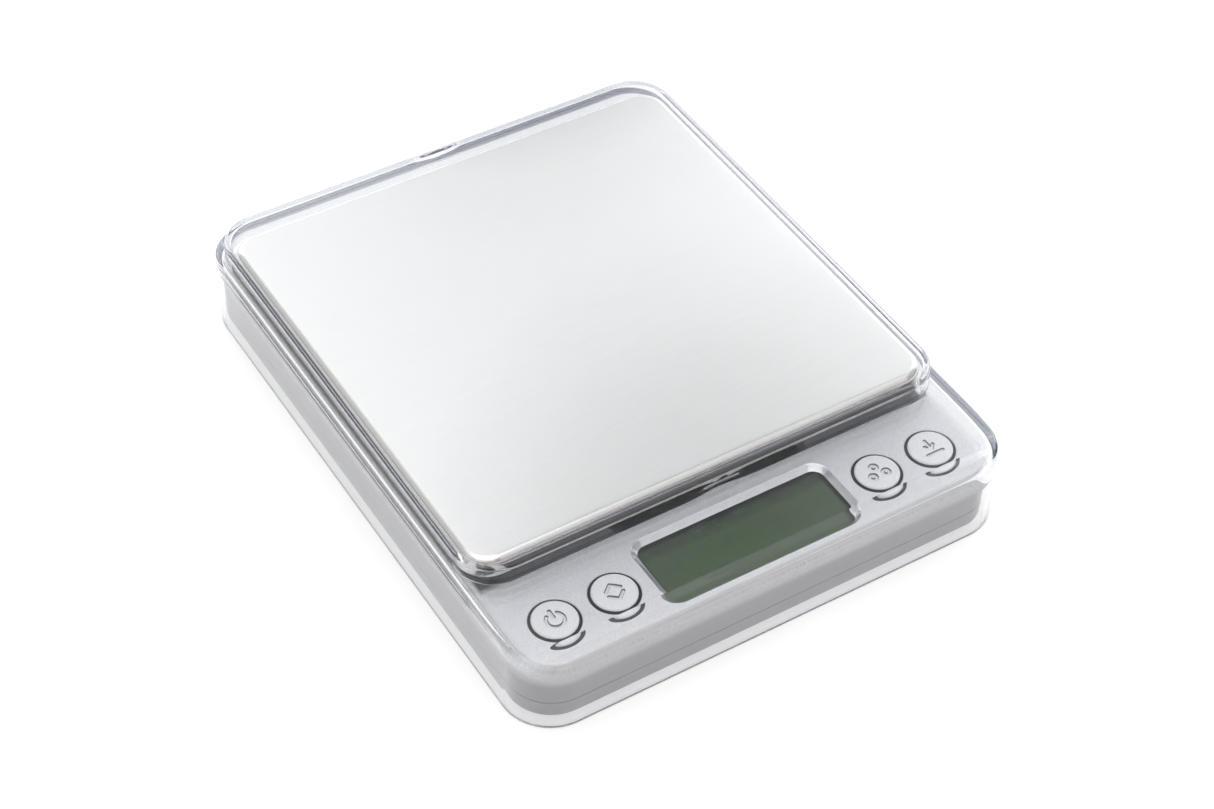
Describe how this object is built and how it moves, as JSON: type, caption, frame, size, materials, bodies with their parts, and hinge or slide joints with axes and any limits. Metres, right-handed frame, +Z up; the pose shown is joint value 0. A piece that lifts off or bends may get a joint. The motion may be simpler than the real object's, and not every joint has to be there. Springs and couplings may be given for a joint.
{
  "type": "digital gram scale",
  "caption": "Flat battery-powered gram scale with a stainless platform, display and round keys under a clear stepped dust cover.",
  "frame": {"origin": "centre of the footprint, on the surface that the scale stands on", "axes": "+Z up, +Y towards the back, -Y towards the display and keys, +X to the right of the user"},
  "size_m": [0.106, 0.132, 0.021],
  "materials": {
    "clear_plastic": "clear polished styrene, water-white",
    "silver_abs": "satin silver-lacquered ABS with a fine metallic fleck",
    "stainless": "satin stainless sheet with a polished rolled edge",
    "foam_tape": "white double-sided foam tape",
    "dark_abs": "fine-textured black ABS",
    "screw_steel": "nickel-plated steel",
    "cell_aluminium": "milled aluminium",
    "gauge_foil": "amber polyimide gauge with foil grid",
    "red_wire": "red PVC insulation",
    "green_board": "green solder mask",
    "black_epoxy": "black epoxy",
    "window": "clear acrylic window",
    "lcd": "grey-green reflective liquid crystal display, switched off",
    "white_plastic": "white moulded plastic",
    "elastomer": "layered conductive elastomer",
    "key_silver": "light satin silver plastic with an engraved pictogram",
    "black_plastic": "black nylon",
    "foot_rubber": "matt black rubber",
    "cell_jacket": "plain dark shrink sleeve",
    "nickel": "nickel-plated spring steel"
  },
  "bodies": {
    "case": {"upper_case": "silver_abs", "lower_case": "silver_abs", "load_cell": "cell_aluminium", "load_cell_screws": "screw_steel", "strain_gauges": "gauge_foil", "overload_stop": "screw_steel", "cell_leads": "red_wire", "main_pcb": "green_board", "chip_blob": "black_epoxy", "smd_parts": "black_epoxy", "lcd_lens": "window", "lcd_glass": "lcd", "lcd_backlight": "white_plastic", "lcd_holder": "white_plastic", "zebra_strip": "elastomer", "switch_bodies": "black_plastic", "pcb_screws": "screw_steel", "case_screws": "screw_steel", "rubber_feet": "foot_rubber", "batteries": "cell_jacket", "battery_springs": "nickel", "battery_contacts": "nickel", "battery_leads": "red_wire"},
    "cover": {"clear_cover": "clear_plastic"},
    "weigh_deck": {"platform": "stainless", "platform_tape": "foam_tape", "platform_carrier": "dark_abs", "carrier_screws": "screw_steel"},
    "door": {"battery_door": "silver_abs"},
    "power_key": {"power_button": "key_silver", "power_plunger": "black_plastic"},
    "mode_key": {"mode_button": "key_silver", "mode_plunger": "black_plastic"},
    "count_key": {"count_button": "key_silver", "count_plunger": "black_plastic"},
    "tare_key": {"tare_button": "key_silver", "tare_plunger": "black_plastic"}
  },
  "joints": [
    {"name": "cover_lift", "type": "slide", "parent": "case", "child": "cover", "axis": [0, 0, 1], "range_m": [0, 0.045]},
    {"name": "deck_load", "type": "slide", "parent": "case", "child": "weigh_deck", "axis": [0, 0, -1], "range_m": [0, 0.0004], "stiffness_N_per_m": 30000, "deforming": ["load_cell"]},
    {"name": "door_swing", "type": "hinge", "parent": "case", "child": "door", "pos_m": [0, 0.053, 0.002], "axis": [1, 0, 0], "range_deg": [0, 70]},
    {"name": "power_press", "type": "slide", "parent": "case", "child": "power_key", "axis": [0, 0, -1], "range_m": [0, 0.0005], "stiffness_N_per_m": 800, "springref_m": -0.0002},
    {"name": "mode_press", "type": "slide", "parent": "case", "child": "mode_key", "axis": [0, 0, -1], "range_m": [0, 0.0005], "stiffness_N_per_m": 800, "springref_m": -0.0002},
    {"name": "count_press", "type": "slide", "parent": "case", "child": "count_key", "axis": [0, 0, -1], "range_m": [0, 0.0005], "stiffness_N_per_m": 800, "springref_m": -0.0002},
    {"name": "tare_press", "type": "slide", "parent": "case", "child": "tare_key", "axis": [0, 0, -1], "range_m": [0, 0.0005], "stiffness_N_per_m": 800, "springref_m": -0.0002}
  ]
}
